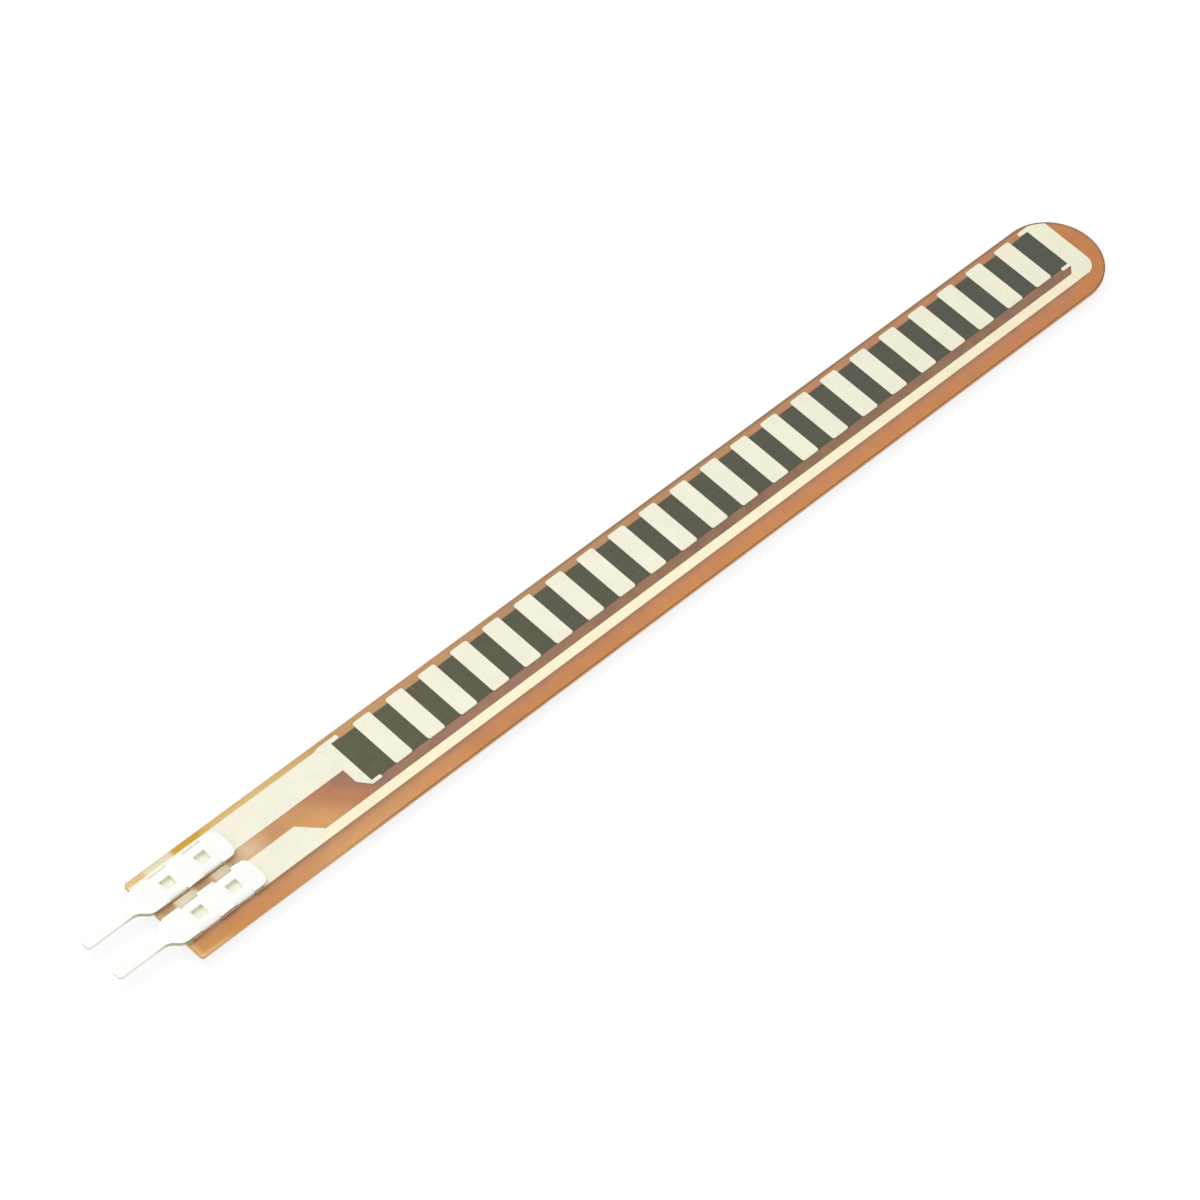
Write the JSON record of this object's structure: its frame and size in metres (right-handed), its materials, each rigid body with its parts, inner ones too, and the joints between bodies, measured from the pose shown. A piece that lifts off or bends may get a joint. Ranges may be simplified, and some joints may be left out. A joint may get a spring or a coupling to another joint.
{
  "type": "flex sensor",
  "caption": "Slim amber film strip with a printed carbon resistor under a row of silver pads, return traces and two crimped solder pins; its resistance rises as it bends.",
  "frame": {"origin": "under the middle of the whole length with the pins, on the film's centreline, in the plane on which the claws of the crimp terminals rest", "axes": "+X along the film from the pins to the round tip, +Y across it towards the wide feed trace, +Z out of the printed face"},
  "size_m": [0.078, 0.0064, 0.0009],
  "materials": {
    "polyimide_film": "glossy translucent amber film",
    "carbon_ink": "matt dark grey printed carbon",
    "silver_ink": "matt pale ivory printed silver",
    "tin_plate": "bright satin tin plating"
  },
  "bodies": {
    "root": {"base_film": "polyimide_film", "resistive_strip": "carbon_ink", "silver_pad_01": "silver_ink", "silver_pad_02": "silver_ink", "silver_pad_03": "silver_ink", "silver_pad_04": "silver_ink", "silver_pad_05": "silver_ink", "silver_pad_06": "silver_ink", "silver_pad_07": "silver_ink", "silver_pad_08": "silver_ink", "silver_pad_09": "silver_ink", "silver_pad_10": "silver_ink", "silver_pad_11": "silver_ink", "silver_pad_12": "silver_ink", "silver_pad_13": "silver_ink", "silver_pad_14": "silver_ink", "silver_pad_15": "silver_ink", "silver_pad_16": "silver_ink", "silver_pad_17": "silver_ink", "silver_pad_18": "silver_ink", "silver_pad_19": "silver_ink", "silver_pad_20": "silver_ink", "silver_pad_21": "silver_ink", "silver_pad_22": "silver_ink", "feed_trace": "silver_ink", "return_trace": "silver_ink", "feed_terminal": "tin_plate", "return_terminal": "tin_plate"}
  },
  "joints": []
}
